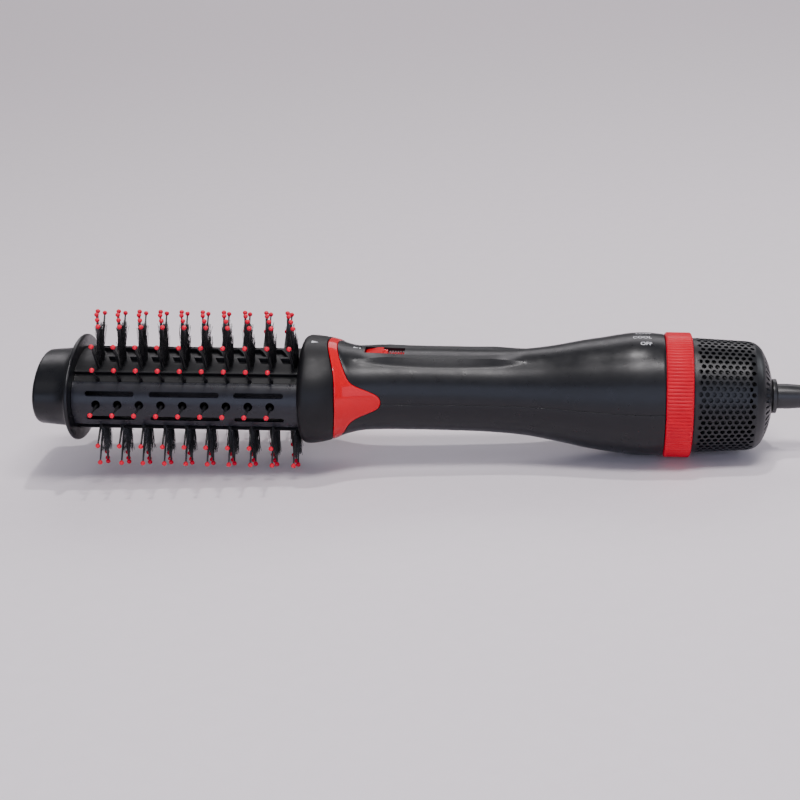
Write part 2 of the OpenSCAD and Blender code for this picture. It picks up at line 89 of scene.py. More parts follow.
MOTTLE_MM, GLOSS_MM = 9, 4                      # size of the colour and gloss patches
NOISE_LOW, NOISE_HIGH = 0.3, 0.7                # where nearly all of a noise lies
WORN_FROM, WORN_FULL = 0.53, 0.62               # pointiness at which an edge starts to wear and is worn


def linear(r, g, b):
    """A colour from screen values of 0 to 255."""
    return tuple((c / 255 / 12.92) if c <= 10 else ((c / 255 + 0.055) / 1.055) ** 2.4 for c in (r, g, b))


def surface(name, colour, rough, grain=0.35, bump=0.05, mottle=0.12, rough_spread=0.08, metallic=0.0,
            coat=0.0, coat_rough=0.1, specular=0.5, wear=0.0):
    """A moulded or drawn surface: mottled colour, uneven gloss and grain of the given size in mm."""
    m = bpy.data.materials.new(name)
    m.use_nodes = True
    nodes, links = m.node_tree.nodes, m.node_tree.links
    bsdf = nodes["Principled BSDF"]
    bsdf.inputs["Metallic"].default_value = metallic
    bsdf.inputs["Specular IOR Level"].default_value = specular
    bsdf.inputs["Coat Weight"].default_value = coat
    bsdf.inputs["Coat Roughness"].default_value = coat_rough
    where = nodes.new("ShaderNodeTexCoord")

    def noise(size_mm, detail):
        n = nodes.new("ShaderNodeTexNoise")
        n.inputs["Scale"].default_value = 1 / (size_mm * MM)
        n.inputs["Detail"].default_value = detail
        links.new(where.outputs["Object"], n.inputs["Vector"])
        return n.outputs["Fac"]

    def spread(fac, low, high):
        r = nodes.new("ShaderNodeMapRange")
        r.inputs["From Min"].default_value = NOISE_LOW
        r.inputs["From Max"].default_value = NOISE_HIGH
        r.inputs["To Min"].default_value = low
        r.inputs["To Max"].default_value = high
        links.new(fac, r.inputs["Value"])
        return r.outputs["Result"]

    mix = nodes.new("ShaderNodeMix")
    mix.data_type = "RGBA"
    mix.inputs["A"].default_value = (*[c * (1 - mottle) for c in colour], 1)
    mix.inputs["B"].default_value = (*[min(1, c * (1 + mottle)) for c in colour], 1)
    links.new(spread(noise(MOTTLE_MM, 4), 0, 1), mix.inputs["Factor"])
    shade = mix.outputs["Result"]
    if wear:
        edge = nodes.new("ShaderNodeNewGeometry")
        worn = nodes.new("ShaderNodeMix")
        worn.data_type = "RGBA"
        worn.inputs["B"].default_value = (*[min(1, c * 1.6 + 0.02) for c in colour], 1)
        ramp = nodes.new("ShaderNodeMapRange")
        ramp.inputs["From Min"].default_value = WORN_FROM
        ramp.inputs["From Max"].default_value = WORN_FULL
        ramp.inputs["To Max"].default_value = wear
        links.new(edge.outputs["Pointiness"], ramp.inputs["Value"])
        links.new(ramp.outputs["Result"], worn.inputs["Factor"])
        links.new(shade, worn.inputs["A"])
        shade = worn.outputs["Result"]
    links.new(shade, bsdf.inputs["Base Color"])
    uneven = spread(noise(GLOSS_MM, 3), rough - rough_spread / 2, rough + rough_spread / 2)
    links.new(uneven, bsdf.inputs["Roughness"])
    if bump:
        b = nodes.new("ShaderNodeBump")
        b.inputs["Strength"].default_value = bump
        b.inputs["Distance"].default_value = grain * 0.2 * MM
        links.new(noise(grain, 2), b.inputs["Height"])
        links.new(b.outputs["Normal"], bsdf.inputs["Normal"])
    return m


MATERIAL = {
    "charcoal_shell": surface("charcoal_shell", linear(17, 18, 22), 0.31, 0.3, 0.2, 0.08, specular=0.34),
    "vent_plate": surface("vent_plate", linear(22, 23, 31), 0.30, 0.3, 0.12, 0.08, specular=0.42, wear=0.15),
    "black_matte": surface("black_matte", linear(13, 13, 16), 0.44, 0.35, 0.25, 0.1, specular=0.28, wear=0.15),
    "nylon": surface("nylon", linear(22, 22, 24), 0.34, 0.2, 0.08),
    "bristle": surface("bristle", linear(18, 18, 20), 0.38, 0.1, 0.1, 0.25),
    "pin_red": surface("pin_red", linear(232, 6, 52), 0.3, 0.3, 0.05, 0.06, coat=0.15, specular=0.2),
    "gloss_red": surface("gloss_red", linear(212, 0, 26), 0.26, 0.6, 0.03, 0.04, 0.04, coat=0.5, coat_rough=0.05,
                         specular=0.05),
    "satin_red": surface("satin_red", linear(208, 2, 38), 0.33, 0.25, 0.15, 0.05, specular=0.16),
    "inlet_black": surface("inlet_black", linear(19, 20, 24), 0.38, 0.3, 0.15, 0.1, specular=0.4, wear=0.2),
    # steel_mesh: coloured near black, far darker than steel, as painted shade for the inside of the inlet basket
    "steel_mesh": surface("steel_mesh", (0.06, 0.06, 0.062), 0.42, 0.4, 0.5, 0.2, metallic=1),
    "screw_steel": surface("screw_steel", (0.55, 0.55, 0.55), 0.3, 0.2, 0.1, metallic=1),
    "motor_steel": surface("motor_steel", (0.45, 0.45, 0.47), 0.35, 0.5, 0.15, metallic=1),
    # core_aluminium: coloured near black, not aluminium, as painted shade so that the barrel's slots look dark
    # inside
    "core_aluminium": surface("core_aluminium", (0.05, 0.05, 0.055), 0.5, 0.3, 0.2, metallic=1),
    "mica": surface("mica", linear(196, 184, 158), 0.45, 0.8, 0.3, 0.2),
    "heater_wire": surface("heater_wire", (0.28, 0.22, 0.18), 0.5, 0.2, 0.3, metallic=1),
    "ceramic": surface("ceramic", linear(232, 230, 224), 0.55, 0.2, 0.2, 0.04),
    "blower_grey": surface("blower_grey", linear(60, 60, 64), 0.45, 0.3, 0.2),
    "impeller_ivory": surface("impeller_ivory", linear(214, 208, 194), 0.4, 0.3, 0.15, 0.05),
    "contact_brass": surface("contact_brass", (0.62, 0.42, 0.18), 0.3, 0.3, 0.1, metallic=1),
    "board_green": surface("board_green", linear(28, 92, 52), 0.35, 0.4, 0.15),
    "swivel_black": surface("swivel_black", linear(28, 28, 31), 0.34, 0.3, 0.15),
    "cord_rubber": surface("cord_rubber", linear(24, 24, 25), 0.5, 0.25, 0.25),
    "plug_black": surface("plug_black", linear(26, 26, 28), 0.42, 0.3, 0.3),
    "plug_pin": surface("plug_pin", (0.62, 0.61, 0.58), 0.22, 0.4, 0.06, metallic=1),
}
PRINT_WHITE = surface("print_white", linear(206, 206, 210), 0.5, 0.2, 0.1, 0.04)

NODE_SLOT = {s["node"]: s["material_slot"] for s in frame["record"]["subparts"]}
for node_name, node_object in frame["nodes"].items():
    node_object.data.materials.clear()
    node_object.data.materials.append(MATERIAL[NODE_SLOT[node_name]])


# ---- Mesh helpers ----

def piece(name, verts, faces, body, slot, stands_for=(), sharp=30, place=LIE, material=None):
    """A new piece from points in mm, riding on a body and taking its finish from a slot."""
    mesh = bpy.data.meshes.new(name)
    mesh.from_pydata([tuple(v) for v in np.asarray(verts, float)], [], [tuple(f) for f in faces])
    mesh.transform(place)
    mesh.materials.append(material or MATERIAL[slot])
    mesh.shade_smooth()
    mesh.set_sharp_from_angle(angle=math.radians(sharp))
    obj = bpy.data.objects.new(name, mesh)
    bpy.context.collection.objects.link(obj)
    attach(obj, body)
    if stands_for:
        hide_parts(*stands_for)
    return obj


def grid_faces(rows, cols, wrap_rows=False, wrap_cols=False):
    """Quads over a grid of points stored row by row."""
    i = np.arange(rows if wrap_rows else rows - 1)
    j = np.arange(cols if wrap_cols else cols - 1)
    i, j = (a.ravel() for a in np.meshgrid(i, j, indexing="ij"))
    i2, j2 = (i + 1) % rows, (j + 1) % cols
    return np.stack([i * cols + j, i * cols + j2, i2 * cols + j2, i2 * cols + j], 1)


def joined(parts):
    """Several (verts, faces) as one."""
    verts, faces, base = [], [], 0
    for v, f in parts:
        verts.append(np.asarray(v, float))
        faces += [tuple(np.asarray(q) + base) for q in f]
        base += len(v)
    return np.concatenate(verts), faces


def turned(profile, steps):
    """A closed solid turned about x from (x, radius) points that start and end on the axis or close a loop."""
    p = np.asarray(profile, float)
    solid = p[0, 1] < 1e-6
    ring = p[1:-1] if solid else p
    a = 2 * np.pi * np.arange(steps) / steps
    verts = np.stack([np.repeat(ring[:, :1], steps, 1), ring[:, 1:] * np.sin(a),
                      ring[:, 1:] * np.cos(a)], -1).reshape(-1, 3)
    faces = [tuple(f) for f in grid_faces(len(ring), steps, not solid, True)]
    if solid:
        verts = np.concatenate([verts, [[p[0, 0], 0, 0], [p[-1, 0], 0, 0]]])
        first, last, base = len(verts) - 2, len(verts) - 1, (len(ring) - 1) * steps
        faces += [(first, (k + 1) % steps, k) for k in range(steps)]
        faces += [(last, base + k, base + (k + 1) % steps) for k in range(steps)]
    return verts, faces


def arc(cx, cy, r, a0, a1, n):
    """Points of a profile's round corner."""
    return [(cx + r * math.cos(math.radians(a)), cy + r * math.sin(math.radians(a)))
            for a in np.linspace(a0, a1, n)]


def tube(path, radii, sides):
    """A round tube along points; radii is one number or one for each point."""
    path = np.asarray(path, float)
    radii = np.broadcast_to(np.asarray(radii, float), (len(path),))
    d = np.gradient(path, axis=0)
    d /= np.linalg.norm(d, axis=1)[:, None]
    u = np.cross(d, [0.12, 0.35, 0.93])         # no tube runs along this
    u /= np.linalg.norm(u, axis=1)[:, None]
    v = np.cross(d, u)
    a = 2 * np.pi * np.arange(sides) / sides
    verts = (path[:, None] + radii[:, None, None] * (np.cos(a)[None, :, None] * u[:, None]
                                                    + np.sin(a)[None, :, None] * v[:, None])).reshape(-1, 3)
    faces = [tuple(f) for f in grid_faces(len(path), sides, False, True)]
    return verts, faces + [tuple(range(sides - 1, -1, -1)), tuple((len(path) - 1) * sides + np.arange(sides))]


def box_mesh(lo, hi):
    """A box between two corners."""
    (x0, y0, z0), (x1, y1, z1) = lo, hi
    verts = [(x, y, z) for x in (x0, x1) for y in (y0, y1) for z in (z0, z1)]
    return verts, [(0, 1, 3, 2), (4, 6, 7, 5), (0, 4, 5, 1), (2, 3, 7, 6), (0, 2, 6, 4), (1, 5, 7, 3)]


def slot_mesh(x0, x1, z, h, y0, y1):
    """A cutter with rounded ends that runs through along y."""
    outline = arc(x1 - h / 2, z, h / 2, -90, 90, 8) + arc(x0 + h / 2, z, h / 2, 90, 270, 8)
    n = len(outline)
    verts = [(x, y, zz) for y in (y0, y1) for x, zz in outline]
    faces = [tuple(range(n)), tuple(range(2 * n - 1, n - 1, -1))]
    return verts, faces + [(k, k + n, (k + 1) % n + n, (k + 1) % n) for k in range(n)]


def applied(obj):
    """Replaces an object's mesh by what its modifiers make of it."""
    graph = bpy.context.evaluated_depsgraph_get()
    mesh = bpy.data.meshes.new_from_object(obj.evaluated_get(graph))
    obj.modifiers.clear()
    obj.data = mesh


def cut(obj, parts, sharp=30):
    """Cuts closed shapes out of a piece."""
    verts, faces = joined(parts)
    mesh = bpy.data.meshes.new("cutter")
    mesh.from_pydata([tuple(v) for v in verts], [], faces)
    mesh.transform(LIE)
    tool = bpy.data.objects.new("cutter", mesh)
    bpy.context.collection.objects.link(tool)
    m = obj.modifiers.new("cut", "BOOLEAN")
    m.operation = "DIFFERENCE"
    m.solver = "EXACT"
    m.object = tool
    applied(obj)
    bpy.data.objects.remove(tool)
    bpy.data.meshes.remove(mesh)
    obj.data.shade_smooth()
    obj.data.set_sharp_from_angle(angle=math.radians(sharp))


# ---- Cord ----

CORD_D = 6.4
LEAD = [(202, 0, 28), (214, 0, 27), (228, 0, 24), (242, -0.4, 18), (255, -1.6, 11.4), (268, -3.6, 6.2),
        (282, -6.2, 3.8), (298, -8.8, 3.2), (314, -11, 3.2), (330, -11.6, 3.2)]
TAIL = [(330, 65.2, 22.4), (318, 65.3, 22.4), (304, 65.5, 22.3), (297, 65.6, 20.8), (288, 65.8, 16.8),
        (278, 66, 12), (268, 66, 10)]
COIL_CENTRE = (330, 30)
COIL_MID_R = 35.2
COIL_TURNS, COIL_STEPS = 7.5, 36                # how many turns, and points in each
LANE_CHANGE = 0.16                              # the last share of a turn moves to the next lane
END_LIFT = 0.2                                  # the last share of a turn climbs to cross the outer lane
PLUG_REAR = np.array([268.0, 66.0, 10.0])


def through(points, per_span):
    """A smooth curve through points."""
    p = np.asarray(points, float)
    p = np.concatenate([p[:1], p, p[-1:]])
    out = []
    for a, b, c, d in zip(p, p[1:], p[2:], p[3:]):
        for s in np.arange(per_span) / per_span:
            out.append(0.5 * (2 * b + (c - a) * s + (2 * a - 5 * b + 4 * c - d) * s ** 2
                              + (3 * b - a - 3 * c + d) * s ** 3))
    return np.array(out + [p[-1]])


def coil_path():
    """Seven and a half turns, in three layers: inward, outward, and one and a half turns on top."""
    outer, inner = COIL_MID_R + CORD_D, COIL_MID_R - CORD_D
    lanes = [outer, COIL_MID_R, inner, inner, COIL_MID_R, outer, outer, COIL_MID_R]
    layers = [0, 0, 0, 1, 1, 1, 2, 2]
    points = []
    for i in range(int(COIL_TURNS * COIL_STEPS) + 1):
        turn, part = divmod(i / COIL_STEPS, 1)
        turn = int(turn)
        blend = max(0.0, (part - (1 - LANE_CHANGE)) / LANE_CHANGE)
        blend = blend * blend * (3 - 2 * blend)
        after = min(turn + 1, len(lanes) - 1)
        r = lanes[turn] + (lanes[after] - lanes[turn]) * blend
        level = layers[turn] + (layers[after] - layers[turn]) * blend
        climb = max(0.0, (i / COIL_STEPS - COIL_TURNS) / END_LIFT + 1)
        level += climb * climb * (3 - 2 * climb)
        a = math.radians(-90) + 2 * math.pi * i / COIL_STEPS
        points.append((COIL_CENTRE[0] + r * math.cos(a), COIL_CENTRE[1] + r * math.sin(a),
                       CORD_D * (0.5 + level)))
    return np.array(points)


def make_cord():
    """The whole cord in one tube, from the strain relief through the coil to the plug."""
    path = np.concatenate([through(LEAD, 4)[:-1], coil_path()[1:-1], through(TAIL, 3)])
    verts, faces = tube(path, CORD_D / 2, 16)
    obj = piece("mains_cord", verts, faces, "handle", "cord_rubber", ("cord_lead", "cord_coil", "cord_tail"),
                place=IN_ROW)
    return obj, path


cord, cord_path = make_cord()


def make_plug():
    """Moulded two-pin plug: a flat contour body with a grip waist and a ribbed tail."""
    stations = [(-14, 7.4, 6.6), (-17, 9.4, 7.6), (-24, 10.4, 8.2), (-30, 11.5, 8.4), (-35, 14.2, 8.8),
                (-38, 17.2, 9.6), (-39.5, 18, 9.9), (-43, 18, 9.9), (-44, 17.4, 9.3)]
    steps = 48
    a = 2 * np.pi * np.arange(steps) / steps
    rings = []
    for x, w, h in [(stations[0][0], 0.01, 0.01)] + stations + [(stations[-1][0], 0.01, 0.01)]:
        rings.append(np.stack([np.full(steps, x), w * np.sign(np.cos(a)) * np.abs(np.cos(a)) ** 0.55,
                               h * np.sign(np.sin(a)) * np.abs(np.sin(a)) ** 0.55], 1))
    body = (np.concatenate(rings), [tuple(f[::-1]) for f in grid_faces(len(rings), steps, False, True)])
    ribs = [(0, 3.3), (0, 4.6)]
    for k in range(5):
        x, wider = -1.0 - 2.7 * k, 0.3 * k
        ribs += [(x, 4.9 + wider), (x - 1.3, 4.95 + wider), (x - 1.4, 4.3 + wider), (x - 2.3, 4.3 + wider)]
    ribs += [(-14.6, 6.2), (-14.6, 3.3)]
    tail = turned(ribs, 48)
    tail = (tail[0], [f[::-1] for f in tail[1]])
    verts, faces = joined([body, tail])
    plug = piece("plug_shell", verts + PLUG_REAR, faces, "handle", "plug_black", ("plug_body",), place=IN_ROW)
    prongs = []
    pin = [(0, 0), (0, 2.4), (-17.2, 2.4)] + arc(-17.2, 0.6, 1.8, 90, 180, 6) + [(-19, 0)]
    for side in (-1, 1):
        v, f = turned(pin, 32)
        prongs.append((v + PLUG_REAR + [-44, side * 9.5, 0], [q[::-1] for q in f]))
    verts, faces = joined(prongs)
    prong = piece("plug_prongs", verts, faces, "handle", "plug_pin", ("plug_pins",), place=IN_ROW)
    return plug, prong


def make_tie():
    """A hook-and-loop strap closed round the winding."""
    half_w, top, thick, r = 10.0, 3 * CORD_D + 0.2, 0.9, 2.2
    inner = []
    for cx, cz, a0 in ((half_w - r, top - r, 0), (-half_w + r, top - r, 90), (-half_w + r, r + 0.05, 180),
                       (half_w - r, r + 0.05, 270)):
        inner += arc(cx, cz, r, a0, a0 + 90, 6)
    inner = np.array(inner)
    middle = np.array([0, top / 2])
    outward = inner - middle
    outward /= np.linalg.norm(outward, axis=1)[:, None]
    outer = inner + outward * thick
    outer[:, 1] = np.maximum(outer[:, 1], 0.02)
    outer_x = COIL_CENTRE[0] + COIL_MID_R
    loops = []
    for path, y in ((inner, -4), (outer, -4), (outer, 4), (inner, 4)):
        loops.append(np.stack([path[:, 0] + outer_x, np.full(len(path), y + COIL_CENTRE[1]), path[:, 1]], 1))
    verts = np.concatenate(loops)
    return piece("winding_strap", verts, grid_faces(4, len(inner), True, True), "handle", "cord_rubber",
                 ("cord_tie",), place=IN_ROW)


plug, prongs = make_plug()
strap = make_tie()


# ---- The body's surface, as in the CAD ----

BODY_LINE = np.array([
    (-49.4, 26.8, -25.9, 32.6), (-46.4, 27, -26.1, 33), (-38, 26.3, -25.1, 32), (-32.8, 25.5, -23.7, 29.6),
    (-27.7, 23.6, -21.7, 26.4), (-20.2, 22.2, -20, 23.2), (-9.6, 21.7, -19.4, 21.4), (5, 21.4, -19.3, 20.6),
    (25, 21.3, -19.5, 20.4), (42, 21.2, -19.9, 20.4), (54, 21.4, -20.6, 20.7), (64, 22.3, -21.6, 21.6),
    (73, 23.4, -23.2, 22.8), (82, 25, -24.9, 24.5), (91, 26.8, -26.8, 26.3), (100, 28.2, -28.2, 28),
    (108, 29.6, -29.2, 29.4), (115, 30.6, -30, 30.3), (121, 30.8, -30.3, 30.6), (130.3, 30.1, -30.1, 30.1)])
COLLAR_X0 = -49.4
DECK_X0, DECK_X1 = -22, 62
DECK_HALF, DECK_DROP = 28, 0.5                  # degrees each side of the top, and mm under the outline
FACET = 11                                      # widest reach of the facet beside the deck, in degrees
WALL = 2.2
SHELL_START, SHELL_END = -2, 130.3              # from the start on, the rows of the shell are straight
GAP = 0.3
TRIM_EASE = 0.45                                # radius of the trim's edges
ROUND = np.arange(240) * 1.5 - 180              # degrees round the body


def line_value(x, column):
    """The outline at x, on a smooth curve through the stations."""
    s, v = BODY_LINE[:, 0], BODY_LINE[:, column]
    slope = np.gradient(v, s)
    x = np.clip(np.asarray(x, float), s[0], s[-1])
    i = np.clip(np.searchsorted(s, x) - 1, 0, len(s) - 2)
    h = s[i + 1] - s[i]
    t = (x - s[i]) / h
    return ((2 * t ** 3 - 3 * t ** 2 + 1) * v[i] + (t ** 3 - 2 * t ** 2 + t) * h * slope[i]
            + (-2 * t ** 3 + 3 * t ** 2) * v[i + 1] + (t ** 3 - t ** 2) * h * slope[i + 1])


def deck_fade(x):
    """How much of the deck there is at x, from 0 at its ends to 1 in the middle."""
    t = np.clip((np.asarray(x, float) - DECK_X0) / (DECK_X1 - DECK_X0), 0, 1)
    return np.sin(np.pi * t) ** 0.7


def skin(x, phi, inset=0.0):
    """Points of the body: phi in degrees round the axis from the top, inset below the surface."""
    x, phi, inset = np.broadcast_arrays(np.asarray(x, float), phi, inset)
    top, bottom, wide = (line_value(x, c) for c in (1, 2, 3))
    mid, h, w = (top + bottom) / 2, (top - bottom) / 2 - inset, wide - inset
    a, side = np.radians(phi), np.abs(phi)
    y, z = w * np.sin(a), mid + h * np.cos(a)
    fade = deck_fade(x)
    deck = top - DECK_DROP * fade - inset
    reach = FACET * (0.3 + 0.7 * fade)          # the facet is a lens, widest in the middle
    shoulder = mid + h * np.cos(np.radians(DECK_HALF + reach))
    lifted = np.where(side < DECK_HALF, deck, deck + (shoulder - deck) * (side - DECK_HALF) / reach)
    z = np.where(side < DECK_HALF + reach, z + (np.maximum(z, lifted) - z) * np.minimum(1, 1.5 * fade), z)
    return np.stack([x, -y, z], -1)


def seam_phi(x):
    """Where the axis plane, and so the seam, meets the body."""
    top, bottom = line_value(x, 1), line_value(x, 2)
    return np.degrees(np.arccos(-(top + bottom) / (top - bottom)))


def collar_edge(phi):
    """x of the collar's rear edge, which waves back at the sides."""
    c = np.cos(np.radians(phi)) ** 2
    return -31.2 - np.where(np.abs(phi) < 90, 5.4 * c ** 2, 3.6 * c)


def trim_edge(phi):
    """x of the trim's rear edge, with a tongue on each side."""
    off = np.abs(90 - np.abs(phi))
    return -31.6 + 9.4 * np.sin(np.radians(phi)) ** 2 + 13.4 * np.exp(-(off / 20.6) ** 3)


def banded(name, x0, x1, depth_path, body, slot, stands_for):
    """A ring of the body's skin between two edges given as x for each phi.

    depth_path holds (share of the way, offset in mm, inset) round the section of the ring.
    """
    points = []
    for share, shift, inset in depth_path:
        x = x0 + (x1 - x0) * share + shift
        points.append(skin(x, ROUND, inset))
    verts = np.concatenate(points)
    return piece(name, verts, grid_faces(len(points), len(ROUND), True, True), body, slot, stands_for)


def corner(at, r, count):
    """Path of a rounded corner of radius r at the start (at 0) or the end (at 1) of a band."""
    angles = np.radians(np.linspace(0, 90, count))
    if at:
        return [(1, -r * (1 - math.sin(a)), r * (1 - math.cos(a))) for a in angles]
    return [(0, r * (1 - math.cos(a)), r * (1 - math.sin(a))) for a in angles]


def make_collar():
    """Black collar of the head, with a rounded front corner."""
    run = [(s, 0, 0) for s in np.linspace(0.3, 0.95, 8)]
    inside = [(1, 0, WALL), (0.2, 0, WALL), (0, 1.6, WALL + 2), (0, 1.6, 9.0)]
    path = [(0, 0, 9.0)] + corner(0, 3.4, 8) + run + corner(1, 0.4, 5) + inside
    banded("collar_shell", np.full(len(ROUND), COLLAR_X0), collar_edge(ROUND), path, "head", "black_matte",
           ("head_collar",))


def make_trim():
    """Glossy red ring that runs into a pointed tongue on each side."""
    run = [(s, 0, -0.12) for s in np.linspace(0.12, 0.93, 24)]
    path = corner(0, TRIM_EASE, 5) + run + corner(1, TRIM_EASE, 5) + [(1, 0, WALL), (0, 0, WALL)]
    banded("trim_band", collar_edge(ROUND) + GAP, trim_edge(ROUND), path, "handle", "gloss_red", ("trim_ring",))


def make_shell(upper):
    """Half of the handle, with a softened edge all round so that the seams show."""
    facet_end = DECK_HALF + 10
    middle_phi = np.concatenate([np.linspace(-facet_end, -DECK_HALF, 6)[:-1], np.linspace(-DECK_HALF, DECK_HALF, 33),
                                 np.linspace(DECK_HALF, facet_end, 6)[1:]])
    run = SHELL_END - SHELL_START
    rows = []
    # stations below 0 follow the trim's wavy edge, those from 0 to 1 the straight rest
    for t in np.concatenate([np.linspace(0, 1, 14)[:-1] - 1, np.linspace(0, 1, 120)]):
        seam = float(seam_phi(-6.0 if t < 0 else SHELL_START + run * t))
        reach = (seam if upper else 180 - seam) - 0.1
        if upper:
            wing = np.linspace(facet_end, reach, 40)[1:]
            phi = np.concatenate([-wing[::-1], middle_phi, wing])
        else:
            phi = np.linspace(-reach, reach, 121)
        depth = np.zeros(len(phi))
        depth[[0, -1]] = 0.14
        depth[[1, -2]] = 0.04
        phi[1], phi[-2] = phi[0] + 0.22, phi[-1] - 0.22
        phi[2], phi[-3] = phi[0] + 0.6, phi[-1] - 0.6
        turned_phi = phi if upper else np.where(180 + phi > 180, phi - 180, phi + 180)
        start = trim_edge(turned_phi) + 0.12
        x = start + (SHELL_START - start) * (t + 1) if t < 0 else np.full(len(phi), SHELL_START + run * t)
        rows.append((x, turned_phi, depth))
    (x0, phi0, depth0), (x1, phi1, depth1) = rows[0], rows[-1]
    lead = [(x0, phi0, np.maximum(depth0, 0.4)), (x0 + 0.12, phi0, np.maximum(depth0, 0.12))]
    rows[0] = (x0 + 0.4, phi0, depth0)
    tail = [(x1, phi1, np.maximum(depth1, 0.12)), (x1, phi1, np.maximum(depth1, 0.4))]
    rows[-1] = (x1 - 0.4, phi1, depth1)
    rows = lead + rows + tail
    outer = np.stack([skin(x, p, d) for x, p, d in rows])
    inner = np.stack([skin(x, p, WALL) for x, p, d in rows])
    n, m = outer.shape[:2]
    verts = np.concatenate([outer.reshape(-1, 3), inner.reshape(-1, 3)])
    faces = [tuple(f) for f in grid_faces(n, m)]
    faces += [tuple(f[::-1] + n * m) for f in grid_faces(n, m)]
    rim = ([(0, j) for j in range(m - 1)] + [(i, m - 1) for i in range(n - 1)]
           + [(n - 1, j) for j in range(m - 1, 0, -1)] + [(i, 0) for i in range(n - 1, 0, -1)])
    index = [i * m + j for i, j in rim]
    for a, b in zip(index, index[1:] + index[:1]):
        faces.append((b, a, a + n * m, b + n * m))
    name = "upper_handle_skin" if upper else "lower_handle_skin"
    node = "handle_upper_shell" if upper else "handle_lower_shell"
    return piece(name, verts, faces, "handle", "charcoal_shell", (node,), sharp=24)


make_collar()
make_trim()
upper_skin = make_shell(True)
lower_skin = make_shell(False)
SLIDER_X0, SLIDER_X1 = -18.0, 1.9
cut(upper_skin, [box_mesh((SLIDER_X0, -4.6, 16), (SLIDER_X1, 4.6, 26))], sharp=24)
SCREW_X, RECESS_R = (53, 67), 2.6
for x in SCREW_X:
    recess = turned([(-3, 0), (-3, RECESS_R), (1.2, RECESS_R), (1.2, 0)], 32)
    upright = np.stack([recess[0][:, 1] + x, recess[0][:, 2], recess[0][:, 0] + line_value(x, 2)], 1)
    cut(lower_skin, [(upright, recess[1])], sharp=24)


# ---- Brush head ----

BARREL_W, BARREL_H = 30.3, 19.35                # half width and half height
BARREL_X0, BARREL_X1 = -162.0, COLLAR_X0
FIRST_X, PITCH, COLUMNS = -150.2, 10.9, 10      # columns of long pins and tufts
SIDE_SHIFT, SIDE_COLUMNS = 0.6, 9               # columns of short pins, and how far they are off the long ones
LEAN = 0.45                                     # a column moves this much along x for each mm across
LONG_PIN, SHORT_PIN, BALL_R = 18.05, 11.7, 1.1
# angles round the barrel from the side, in degrees
LONG_ROWS, SHORT_ROWS, TUFT_ROWS = (55, 75, 84, 94, 107, 125), (-40, 0, 40), (62, 70, 79, 89, 99, 109, 118)
SLOT_Z, SLOT_H = (-6.2, 6.4), 2.4
SLOT_SPANS = ((-155.2, -130.5), (-122.9, -87.8), (-80.7, -55.8))
DIMPLE_R, DIMPLE_Z = 2.2, 1.2


def oval(t, inset=0.0):
    """(y, z) on the barrel's outline, inset below it."""
    t = np.radians(t)
    return np.stack([-(BARREL_W - inset) * np.cos(t), (BARREL_H - inset) * np.sin(t)], -1)


def lean_x(t):
    """How far the slanted columns have moved along x at angle t."""
    y, y75, y103 = (oval(a)[..., 0] for a in (t, 75, 103))
    return -LEAN * (np.clip(y, y75, y103) - y75)


def oval_loft(profile, steps=160):
    """A closed loft of ovals from (x, half width, half height)."""
    p = np.asarray(profile, float)
    a = 2 * np.pi * np.arange(steps) / steps
    verts = np.stack([np.repeat(p[:, :1], steps, 1), p[:, 1:2] * np.sin(a), p[:, 2:] * np.cos(a)], -1).reshape(-1, 3)
    return verts, [tuple(f) for f in grid_faces(len(p), steps, True, True)]


def make_tip():
    """Cool tip: an oval cup that flares into a flange."""
    edge, flare, rim = 1.9, 3.6, 1.15           # radii of the front edge, the flare and the flange's rim
    profile = [(-183.4, 0.01, 0.01), (-183.3, 14, 8.6), (-183.05, 21, 12.2)]
    for a in np.radians(np.linspace(80, 0, 8)):
        out = edge * math.cos(a)
        profile.append((-182.8 + edge * (1 - math.sin(a)), 26.5 + out, 15.5 + out))
    profile += [(x, 28.5 + 1.5 * s, 17.5 + 1.3 * s) for x, s in ((-176, 0.25), (-172, 0.5), (-169, 0.75))]
    for a in np.radians(np.linspace(10, 90, 8)):
        out = flare * (1 - math.cos(a))
        profile.append((-168.4 + flare * math.sin(a), 30.0 + out, 18.8 + out))
    for a in np.radians(np.linspace(0, 180, 11)):
        out = rim * math.sin(a)
        profile.append((-163.25 - rim * math.cos(a) - 0.2, 35.4 + out, 24.45 + out))
    inside = [(-162.2, 29, 18.2), (-162.2, 27.8, 17.0), (-180.4, 25.6, 15.2), (-180.6, 14, 8.4),
              (-180.6, 0.01, 0.01)]
    piece("cool_tip_cup", *oval_loft(profile + inside), "head", "charcoal_shell", ("cool_tip",))


def oval_plate(t0, t1, outer, inner, steps):
    """A curved plate of the barrel between two angles, with rounded long edges."""
    t = np.linspace(t0, t1, steps)
    soften = np.zeros(steps)
    soften[[0, -1]] = 0.3
    soften[[1, -2]] = 0.08
    out = np.stack([oval(a, outer + s) for a, s in zip(t, soften)])
    loop = np.concatenate([out, oval(t[::-1], inner)])
    xs = np.linspace(BARREL_X0, BARREL_X1 + 1.5, 47)
    n = len(loop)
    verts = np.stack([np.repeat(xs[:, None], n, 1), np.tile(loop[:, 0], (len(xs), 1)),
                      np.tile(loop[:, 1], (len(xs), 1))], -1).reshape(-1, 3)
    faces = [tuple(f) for f in grid_faces(len(xs), n, False, True)]
    faces += [tuple(range(n - 1, -1, -1)), tuple((len(xs) - 1) * n + np.arange(n))]
    return verts, faces


def mirrored(verts, faces, axis):
    """The mirror image in the plane across an axis, its faces still outward."""
    verts = np.array(verts, float)
    verts[:, axis] *= -1
    return verts, [tuple(f[::-1]) for f in faces]


def flip(faces, turn):
    """The same faces, turned over if asked."""
    return [f[::-1] for f in faces] if turn else faces


